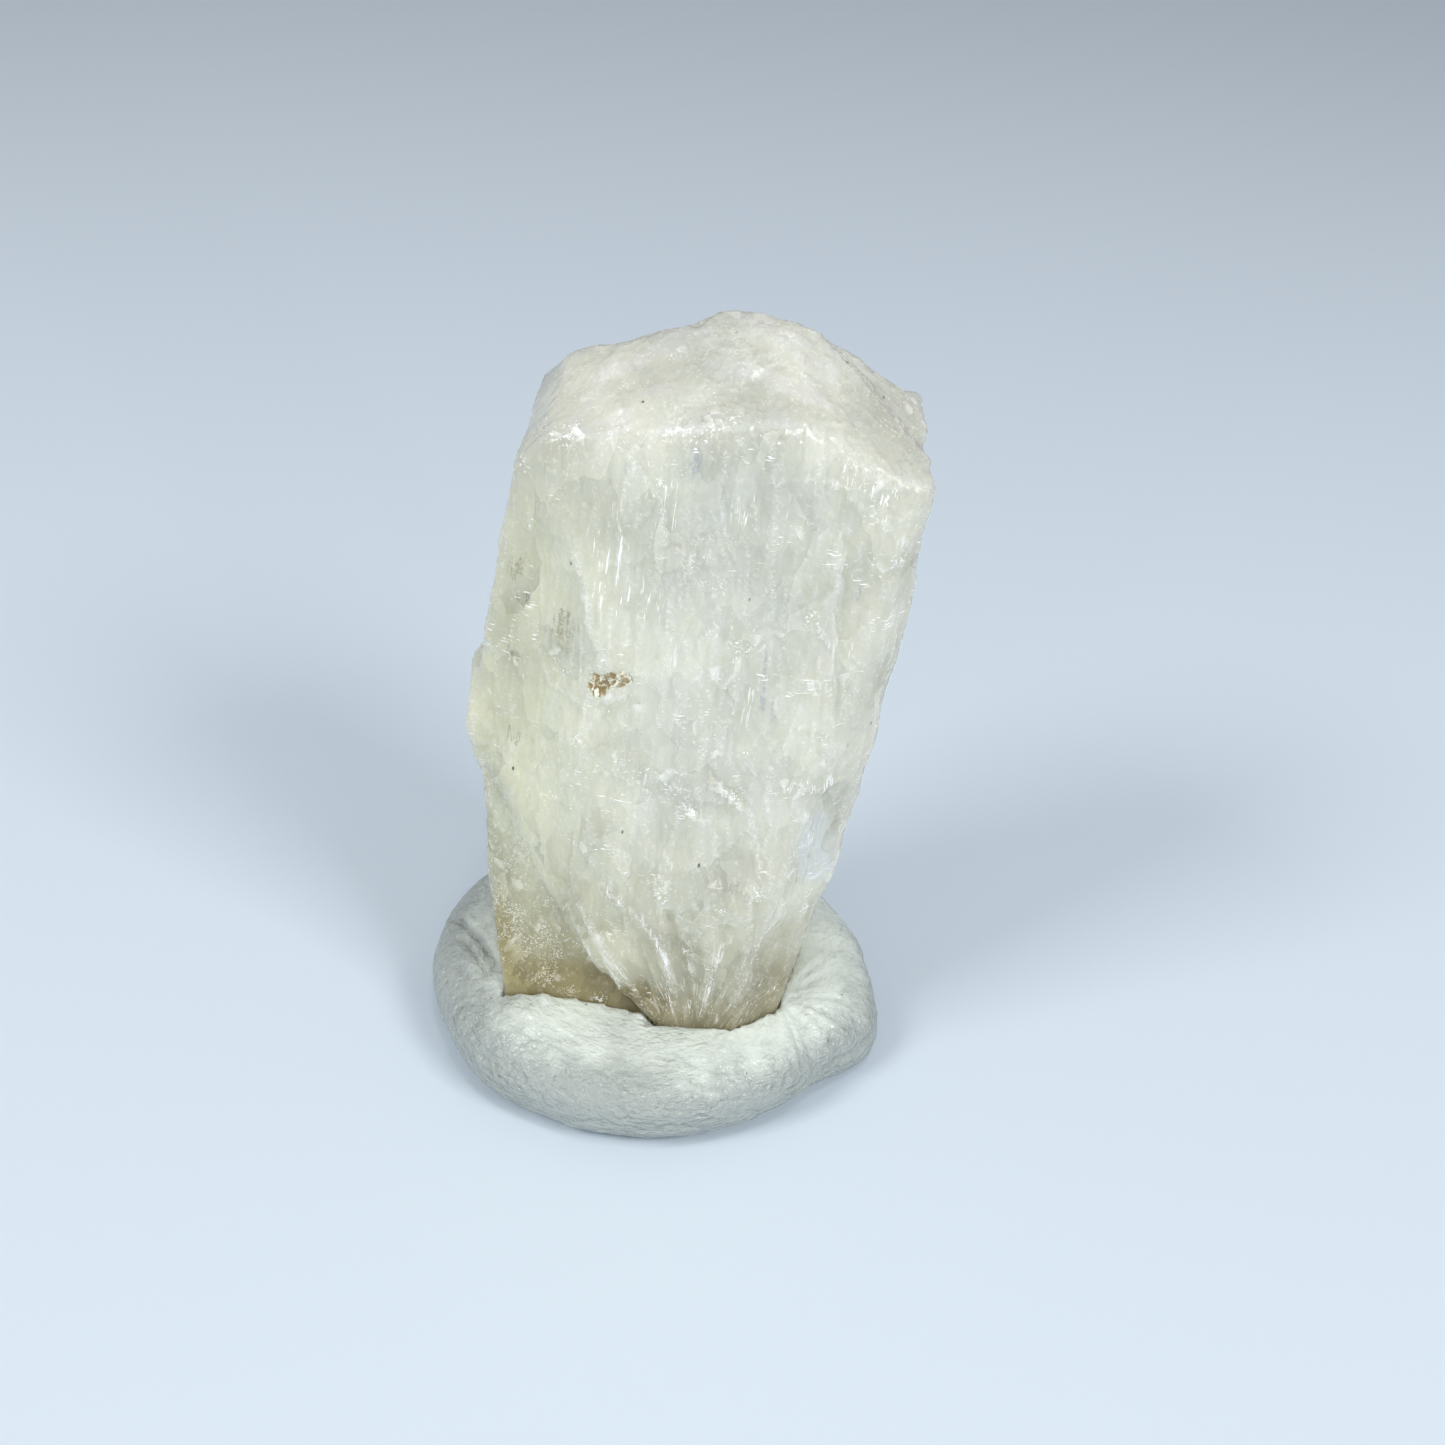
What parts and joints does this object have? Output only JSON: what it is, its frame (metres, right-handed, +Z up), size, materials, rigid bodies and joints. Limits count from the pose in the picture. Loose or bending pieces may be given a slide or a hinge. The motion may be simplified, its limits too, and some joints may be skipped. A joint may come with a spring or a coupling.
{
  "type": "scapolite crystal",
  "caption": "Milky, pale yellow-green scapolite crystal: a stubby prism with a worn, shallow tip and a rough broken foot, standing in a hand-pressed ring of white mounting putty.",
  "frame": {"origin": "middle of the footprint, on the surface that the putty rests on", "axes": "+Z up along the crystal's long axis, -Y towards the broad front prism face, +X to the right of someone facing it"},
  "size_m": [0.0258, 0.0244, 0.0424],
  "materials": {
    "crystal": "glossy, milky and translucent, with fine striations and white veils inside",
    "putty": "satin, finger-pressed, with fine wrinkles"
  },
  "bodies": {
    "root": {"crystal": "crystal", "putty_ring": "putty"}
  },
  "joints": []
}
